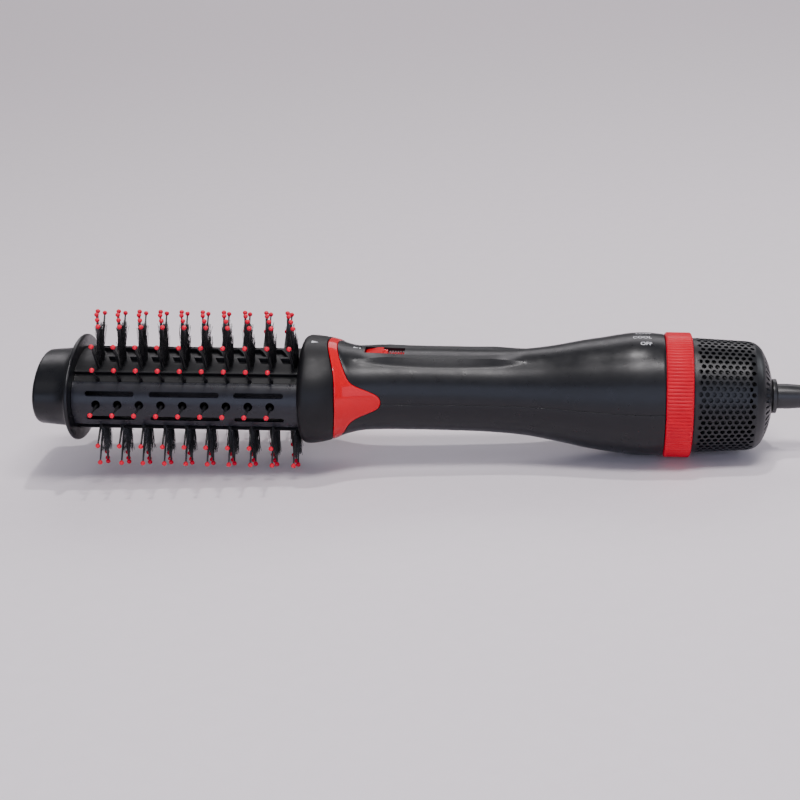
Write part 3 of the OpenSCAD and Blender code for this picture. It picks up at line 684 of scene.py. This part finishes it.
def dimple(x, side):
    """Cutter for the shallow dish that a short side pin stands in."""
    v, f = turned([(0, 0), (0, DIMPLE_R), (-12, DIMPLE_R), (-12, 0)], 24)
    dish = np.stack([v[:, 1] + x, side * (22 - v[:, 0]), v[:, 2] + DIMPLE_Z], 1)
    return dish, flip(f, side < 0)


def make_vent_plate(name, side, node):
    """Narrow side of the barrel: two rows of long slots and a row of dishes."""
    verts, faces = oval_plate(-36, 36, 0, 1.6, 41)
    if side > 0:
        verts, faces = mirrored(verts, faces, 1)
    obj = piece(name, verts, faces, "head", "vent_plate", (node,))
    y0, y1 = (-40, -20) if side < 0 else (20, 40)
    slots = [slot_mesh(a, b, z, SLOT_H, y0, y1) for z in SLOT_Z for a, b in SLOT_SPANS]
    pits = [dimple(FIRST_X + SIDE_SHIFT + PITCH * k, side) for k in range(SIDE_COLUMNS)]
    cut(obj, slots + pits)


def prism(outline, z0, z1):
    """A cutter with an outline in (x, y), pushed along z."""
    n = len(outline)
    verts = [(x, y, z) for z in (z0, z1) for x, y in outline]
    faces = [tuple(range(n - 1, -1, -1)), tuple(range(n, 2 * n))]
    return verts, faces + [(k, (k + 1) % n, (k + 1) % n + n, k + n) for k in range(n)]


def make_bristle_frame(name, side, node):
    """Wide face of the barrel: a dark floor and a raised frame with slanted windows and notched edges."""
    floor = oval_plate(36.8, 143.2, 2.0, 3.2, 61)
    raised = oval_plate(50, 130, 0, 2.6, 81)
    both = [mirrored(*p, 2) if side < 0 else p for p in (floor, raised)]
    piece(name + "_floor", *both[0], "head", "black_matte")
    raised_piece = piece(name, *both[1], "head", "black_matte", (node,))
    z0, z1 = (8, 24) if side > 0 else (-24, -8)
    cutters = []
    for k in range(COLUMNS - 1):
        middle = FIRST_X + PITCH * (k + 0.5)

        def leaning(y0, y1, half):
            return prism([(middle + float(lean_x(90)) - LEAN * y + s * half, y)
                          for y, s in ((y0, -1), (y0, 1), (y1, 1), (y1, -1))], z0, z1)
        cutters += [leaning(-12.6, -7.4, 2.3), leaning(-5.6, 5.6, 2.5), leaning(7.4, 12.6, 2.3)]
    cut(raised_piece, cutters)


def on_barrel(local, x, t, mirror_y, mirror_z):
    """Moves points drawn about +z so that they stand on the barrel at x and angle t."""
    local = np.asarray(local, float)
    a = math.radians(t)
    out = np.array([0, -math.cos(a), math.sin(a)])
    along = np.array([1, 0, 0])
    across = np.cross(out, along)
    root = np.array([x, *oval(t)])
    world = root + local[:, :1] * along + local[:, 1:2] * across + local[:, 2:] * out
    world[:, 1] *= mirror_y
    world[:, 2] *= mirror_z
    return world


def standing(profile, steps):
    """A turned solid about +z from (z, radius) points."""
    v, f = turned(profile, steps)
    return np.stack([v[:, 1], v[:, 2], v[:, 0]], 1), f


def pin_profile(reach):
    """A stem that thins toward the ball, with its root sunk in the barrel."""
    return [(-2.4, 0), (-2.4, 0.95), (0.1, 0.95), (0.5, 0.72), (1.2, 0.6), (reach * 0.6, 0.5), (reach - 0.4, 0.42),
            (reach, 0)]


BALL_WIDE = 1.12                                # a ball is this much wider than it is tall
BALL_PROFILE = [(-1.25, 0), (-1.2, 0.46), (-0.95, 0.72)]
BALL_PROFILE += [(BALL_R * math.sin(a), BALL_WIDE * BALL_R * math.cos(a))
                 for a in np.radians(np.linspace(-38, 78, 9))]
BALL_PROFILE += [(BALL_R, 0)]


def pin_places(kind):
    """(x, t, mirror_y, mirror_z, reach) of every pin of one kind."""
    if kind in ("upper", "lower"):
        mz = 1 if kind == "upper" else -1
        return [(FIRST_X + PITCH * k + float(lean_x(t)), t, 1, mz, LONG_PIN)
                for k in range(COLUMNS) for t in LONG_ROWS]
    my = 1 if kind == "front" else -1
    return [(FIRST_X + SIDE_SHIFT + PITCH * k, t, my, 1, SHORT_PIN)
            for k in range(SIDE_COLUMNS) for t in SHORT_ROWS]


def make_pins(kind, node, tip_nodes):
    """All pins of one kind as two pieces, the stems and the balls on their ends."""
    stems, balls = [], []
    for x, t, my, mz, reach in pin_places(kind):
        turn = my * mz > 0
        v, f = standing(pin_profile(reach), 10)
        stems.append((on_barrel(v, x, t, my, mz), flip(f, turn)))
        v, f = standing(BALL_PROFILE, 16)
        balls.append((on_barrel(v + [0, 0, reach], x, t, my, mz), flip(f, turn)))
    piece(kind + "_pin_stems", *joined(stems), "head", "nylon", (node,), sharp=50)
    piece(kind + "_pin_balls", *joined(balls), "head", "pin_red", tip_nodes, sharp=60)


FILAMENTS, TUFT_R, TUFT_SHIFT = 26, 1.05, 0.9
TUFT_LENGTH, LENGTH_SPREAD, TUFT_SINK = 11.4, 1.0, 2.2
SPLAY, SPLAY_SPREAD, BEND_SPREAD = 0.75, 0.55, 0.35


def make_tufts(name, side, node):
    """Bundles of bristle: each filament leans its own way from a shared root."""
    s = np.linspace(0, 1, 5)[:, None]
    parts = []
    for k in range(COLUMNS):
        for t in TUFT_ROWS:
            x = FIRST_X + PITCH * k + float(lean_x(t)) + TUFT_SHIFT
            for _ in range(FILAMENTS):
                a, r = rng.uniform(0, 2 * np.pi), TUFT_R * math.sqrt(rng.uniform())
                length = rng.normal(TUFT_LENGTH, LENGTH_SPREAD)
                splay = rng.normal(0, SPLAY_SPREAD, 2) + np.array([math.cos(a), math.sin(a)]) * SPLAY
                root = np.array([r * math.cos(a) * 0.8, r * math.sin(a) * 0.8])
                bend = rng.normal(0, BEND_SPREAD, 2)
                flat = root + splay * s ** 1.3 + bend * np.sin(np.pi * s)
                path = np.concatenate([flat, -TUFT_SINK + (length + TUFT_SINK) * s], 1)
                v, f = tube(path, np.linspace(0.13, 0.09, 5), 4)
                parts.append((on_barrel(v, x, t, 1, side), flip(f, side > 0)))
    piece(name, *joined(parts), "head", "bristle", (node,), sharp=80)


make_tip()
make_vent_plate("near_vent_plate", -1, "front_vent_plate")
make_vent_plate("far_vent_plate", 1, "rear_vent_plate")
make_bristle_frame("upper_window_frame", 1, "upper_bristle_frame")
make_bristle_frame("lower_window_frame", -1, "lower_bristle_frame")
make_pins("upper", "upper_pins", ("upper_pin_tips",))
make_pins("lower", "lower_pins", ("lower_pin_tips",))
make_pins("front", "front_pins", ("side_pin_tips",))
make_pins("rear", "rear_pins", ())
make_tufts("upper_filaments", 1, "upper_tufts")
make_tufts("lower_filaments", -1, "lower_tufts")


# ---- Selector ring ----

RING_X0, RING_X1, RING_R, RING_BORE = 130.7, 143.9, 31.0, 28.06
RIBS, RIB_DEPTH, PAD_HALF = 108, 0.6, 6.5       # PAD_HALF in degrees each side of the top


def make_selector():
    """Ribbed ring with a smooth pad on top."""
    steps = RIBS * 8
    a = 360 * np.arange(steps) / steps
    from_top = np.abs((a + 180) % 360 - 180)
    rib = np.clip((0.5 + 0.5 * np.cos(np.radians(a * RIBS))) * 1.7, 0, 1)
    pad = 1 - np.clip((from_top - PAD_HALF) / 1.2, 0, 1)
    relief = RIB_DEPTH * (1 - np.maximum(rib, pad))
    rows = []
    for x, drop, share in ((RING_X0, 0.9, 0), (RING_X0 + 0.15, 0.45, 0), (RING_X0 + 0.5, 0.1, 0.3),
                           (RING_X0 + 1.0, 0, 1), (RING_X1 - 1.0, 0, 1), (RING_X1 - 0.5, 0.1, 0.3),
                           (RING_X1 - 0.15, 0.45, 0), (RING_X1, 0.9, 0)):
        rows.append((x, RING_R - drop - relief * share - 0.25 * (1 - share) * (drop > 0)))
    rows += [(RING_X1, np.full(steps, RING_BORE)), (RING_X0, np.full(steps, RING_BORE))]
    angle = np.radians(a)
    verts = np.concatenate([np.stack([np.full(steps, x), r * np.sin(angle), r * np.cos(angle)], 1)
                            for x, r in rows])
    piece("selector_grip", verts, grid_faces(len(rows), steps, True, True), "selector", "satin_red",
          ("selector_ring",), sharp=50)


make_selector()


# ---- Inlet basket ----

HOLE_R, HOLE_PITCH, HOLE_FILES, HOLE_ROWS = 1.15, 3.2, 62, 9
HOLES_X0 = 145.5
HOLES_X1 = HOLES_X0 + HOLE_ROWS * HOLE_PITCH
MEAN_R = 27                                     # of the holed wall, to lay round holes on it
BORE_R = 28.04                                  # of the plain band
# one hole's own six-sided cell: (share of half a pitch along x, share of a file round the wall)
CELL = [(1, 0), (1, 1 / 3), (0.5, 0.5), (0, 2 / 3), (-0.5, 0.5), (-1, 1 / 3),
        (-1, 0), (-1, -1 / 3), (-0.5, -0.5), (0, -2 / 3), (0.5, -0.5), (1, -1 / 3)]
BASKET_WALL = 1.7
BASKET_STEPS = 3 * HOLE_FILES
END_SLOTS = 44


def basket_radius(x):
    """The outside of the basket, a little conical."""
    return np.interp(x, (147, 171.5, 174.5, 177.3), (28.3, 27, 26.3, 24.6))


def make_lattice():
    """Staggered round holes in rings: even files hold nine, odd files eight and two half cells."""
    step, half = 2 * np.pi / HOLE_FILES, HOLE_PITCH / 2
    points, faces = [], []
    for file in range(HOLE_FILES):
        odd = file % 2
        for k in range(HOLE_ROWS + odd):
            centre = HOLES_X0 + (k + (0 if odd else 0.5)) * HOLE_PITCH
            first = len(points)
            if odd and k in (0, HOLE_ROWS):
                kept = CELL[9:] + CELL[:4] if k == 0 else CELL[3:10]
                points += [(centre + dx * half, (file + df) * step) for dx, df in kept]
                faces.append(tuple(range(first, first + len(kept))))
                continue
            points += [(centre + dx * half, (file + df) * step) for dx, df in CELL]
            for dx, df in CELL:
                q = math.atan2(df * step * MEAN_R, dx * half)
                points.append((centre + HOLE_R * math.cos(q), file * step + HOLE_R * math.sin(q) / MEAN_R))
            n = len(CELL)
            faces += [(first + j, first + (j + 1) % n, first + n + (j + 1) % n, first + n + j) for j in range(n)]
    points = np.array(points)
    wrapped = np.column_stack([points[:, 0], np.mod(points[:, 1] + 1e-7, 2 * np.pi)])
    places, index = np.unique(np.round(wrapped, 5), axis=0, return_inverse=True)
    faces = [tuple(int(i) for i in index.ravel()[list(f)]) for f in faces]
    x, a = places[:, 0], places[:, 1]

    def wall(depth):
        r = basket_radius(x) - depth
        return np.stack([x, r * np.sin(a), r * np.cos(a)], 1)
    edges = dict.fromkeys(pair for f in faces for pair in zip(f, f[1:] + f[:1]))
    n = len(places)
    rims = [(i, j, j + n, i + n) for i, j in edges if (j, i) not in edges]
    verts = np.concatenate([wall(0), wall(BASKET_WALL)])
    faces = [f[::-1] for f in faces] + [tuple(i + n for i in f) for f in faces] + rims
    piece("inlet_lattice", verts, faces, "handle", "inlet_black", ("inlet_basket",), sharp=40)


def make_basket_ends():
    """The plain band in front of the holes and the rounded end with its ring of short slots."""
    r0 = float(basket_radius(HOLES_X0))
    front = [(144.2, BORE_R), (144.2, 28.25), (144.3, 28.3), (HOLES_X0, r0), (HOLES_X0, BORE_R)]
    piece("inlet_front_band", *turned(front, BASKET_STEPS), "handle", "inlet_black")
    r1 = float(basket_radius(HOLES_X1))
    outside = [(HOLES_X1, r1), (175.9, 25.5), (177.2, 24.5), (178.3, 23.2), (179.5, 21.0), (180.6, 18.7),
               (181.6, 16.2), (182.4, 13.2), (183.1, 10.4), (183.5, 8.3), (183.6, 7.4), (183.6, 5.06)]
    inside = [(x - 1.35, r - 0.95) for x, r in outside[:-2]][::-1]
    profile = outside + [(182.1, 5.06)] + inside[:-1] + [(HOLES_X1, r1 - BASKET_WALL)]
    end = piece("inlet_end", *turned(profile, BASKET_STEPS), "handle", "inlet_black")
    cutters = []
    for k in range(END_SLOTS):
        a = 2 * math.pi * (k + 0.5) / END_SLOTS
        v, f = box_mesh((170, -0.62, 16.9), (190, 0.62, 21.9))
        v = np.array(v, float)
        y, z = v[:, 1] * math.cos(a) + v[:, 2] * math.sin(a), -v[:, 1] * math.sin(a) + v[:, 2] * math.cos(a)
        cutters.append((np.stack([v[:, 0], y, z], 1), f))
    cut(end, cutters)


make_lattice()
make_basket_ends()


# ---- Swivel and strain relief ----

def make_swivel():
    """The hub that turns in the basket's end, and the ribbed sleeve round the cord."""
    hub = [(183.75, 3.6), (183.75, 8.1), (184.0, 8.5), (185.5, 8.5), (185.85, 8.3), (186, 7.9), (186, 3.6)]
    piece("swivel_collar", *turned(hub, 96), "swivel", "swivel_black", ("swivel_hub",))
    sleeve = [(180.5, 3.5), (180.5, 4.2), (186.05, 4.2), (186.05, 5.7), (186.4, 6.2), (191.5, 6.2), (197.9, 5.75)]
    x = 198.0
    while x < 218.2:
        crest = 5.7 - (x - 192) * 1.05 / 26
        groove = crest - 0.75
        sleeve += [(x, groove), (x + 0.35, groove), (x + 0.5, crest), (x + 1.75, crest), (x + 1.9, groove)]
        x += 2.45
    sleeve += [(219.2, 3.9), (219.5, 4.5), (220, 4.3), (220, 3.5)]
    piece("relief_sleeve", *turned(sleeve, 64), "swivel", "swivel_black", ("strain_relief",), sharp=40)


make_swivel()


# ---- Release slider ----

def extruded(outline, y0, y1, bevel):
    """A solid with an outline in (x, z) pushed along y, its ends eased by a bevel."""
    outline = np.array(outline, float)
    middle = outline.mean(0)
    rows = []
    for y, shrink in ((y0, bevel), (y0 + bevel, 0), (y1 - bevel, 0), (y1, bevel)):
        away = outline - middle
        eased = outline - np.sign(away) * np.minimum(np.abs(away), shrink)
        rows.append(np.stack([eased[:, 0], np.full(len(outline), y), eased[:, 1]], 1))
    n = len(outline)
    faces = list(grid_faces(4, n, False, True))
    return np.concatenate(rows), faces + [tuple(range(n - 1, -1, -1)), tuple(3 * n + np.arange(n))]


def make_slider():
    """A thumb wedge that climbs toward the handle, in a window with a red floor."""
    wedge = [(-17.7, 19.0), (-17.7, 19.9), (-17.2, 20.1), (-11.9, 21.5), (-11.4, 21.6), (-9.2, 21.6), (-8.8, 21.4),
             (-8.7, 20.9), (-8.7, 20.2), (-6.8, 20.1), (-6.8, 19.0)]
    piece("release_thumb", *extruded(wedge, -4.2, 4.2, 0.25), "release", "gloss_red", ("release_slider",), sharp=25)
    liner = box_mesh((SLIDER_X0 + 0.1, -4.5, 18.72), (SLIDER_X1 - 0.1, 4.5, 18.92))
    piece("window_liner", *liner, "handle", "gloss_red")


make_slider()


# ---- Printed marks ----

PRINT_LIFT = 0.05                               # how far a print stands off the skin
SETTING_STEP = 11.8                             # degrees between two switch settings
LEGEND_X, LEGEND_PHI, LEGEND_H, LEGEND_STRETCH = 124.0, 19, 2.6, 0.88
CAP_SHARE = 0.7                                 # height of the built-in font's capitals, of its size


def printed(name, points, faces, x, phi, body):
    """Lays a flat drawing (u along the axis, v up round the body, in mm) on the skin at x and phi."""
    points = np.asarray(points, float)
    radius = float(line_value(x, 3))
    verts = skin(x + points[:, 0], phi - np.degrees(points[:, 1] / radius), -PRINT_LIFT)
    slot = "charcoal_shell" if body == "handle" else "black_matte"
    piece(name, verts, faces, body, slot, material=PRINT_WHITE, sharp=60)


def legend(word, phi):
    """A switch legend that ends at LEGEND_X, in the built-in font."""
    curve = bpy.data.curves.new(word, "FONT")
    curve.body = word
    curve.size = LEGEND_H / CAP_SHARE
    curve.offset = 0.06
    curve.resolution_u = 4
    text = bpy.data.objects.new(word, curve)
    bpy.context.collection.objects.link(text)
    mesh = bpy.data.meshes.new_from_object(text.evaluated_get(bpy.context.evaluated_depsgraph_get()))
    points = np.array([v.co[:2] for v in mesh.vertices])
    faces = [tuple(f.vertices) for f in mesh.polygons]
    bpy.data.objects.remove(text)
    bpy.data.curves.remove(curve)
    bpy.data.meshes.remove(mesh)
    points[:, 0] = (points[:, 0] - points[:, 0].max()) * LEGEND_STRETCH
    printed("legend_" + word.lower(), points, faces, LEGEND_X, phi, "handle")


for setting, word in enumerate(("OFF", "COOL", "LOW", "HIGH")):
    legend(word, LEGEND_PHI - SETTING_STEP * setting)
printed("collar_arrow", [(-2, -1.3), (1.6, 0), (-2, 1.3)], [(0, 1, 2)], -42.3, 7, "head")
printed("lock_arrow", [(-1.5, -0.9), (1.3, 0), (-1.5, 0.9)], [(0, 1, 2)], -22.4, 0, "handle")
printed("lock_bar", [(1.5, -0.9), (2.1, -0.9), (2.1, 0.9), (1.5, 0.9)], [(0, 1, 2, 3)], -22.4, 0, "handle")


# ---- Stage and lights ----

def make_stage():
    """A wide pale table."""
    mesh = bpy.data.meshes.new("table")
    mesh.from_pydata([(-3.5, -3, 0), (3.5, -3, 0), (3.5, 3.6, 0), (-3.5, 3.6, 0)], [], [(0, 1, 2, 3)])
    mesh.materials.append(surface("table", linear(238, 229, 235), 0.6, grain=0.1, bump=0.0, mottle=0.01,
                                  rough_spread=0.03, specular=0.3))
    obj = bpy.data.objects.new("table", mesh)
    bpy.context.collection.objects.link(obj)


def softbox(name, place, aim, width, height, power, colour):
    """A rectangular light at a place, facing a point."""
    light = bpy.data.lights.new(name, "AREA")
    light.shape = "RECTANGLE"
    light.size, light.size_y, light.energy, light.color = width, height, power, colour
    obj = bpy.data.objects.new(name, light)
    away = Vector(place) - Vector(aim)
    obj.matrix_world = Matrix.Translation(Vector(place)) @ away.to_track_quat("Z", "Y").to_matrix().to_4x4()
    bpy.context.collection.objects.link(obj)


make_stage()
softbox("key", (0.068, 0.185, 1.596), (0, 0, 0.03), 0.07, 0.07, 8, (1, 0.97, 0.98))
softbox("main", (0.2, -0.39, 1.4), (0.1, 0, 0.03), 0.7, 0.28, 12, (1, 0.97, 0.98))
softbox("overhead", (0, -1.0, 2.0), (0, 0, 0), 3.0, 1.6, 9, (1, 0.96, 1))
softbox("back_fill", (0, 2.6, 1.8), (0, 1.8, 0), 3.4, 1.2, 36, (1, 0.96, 1))
softbox("front_window", (0.1, -1.5, 0.5), (0, 0, 0.03), 2.8, 0.9, 14, (0.7, 0.76, 1))
softbox("side", (1.25, 0.47, 0.62), (0.15, 0, 0.03), 0.5, 0.5, 3.5, (0.92, 0.95, 1))
world = bpy.data.worlds.new("studio")
bpy.context.scene.world = world
world.use_nodes = True
background = world.node_tree.nodes["Background"]
background.inputs["Color"].default_value = (0.82, 0.82, 0.85, 1)
background.inputs["Strength"].default_value = 0.2
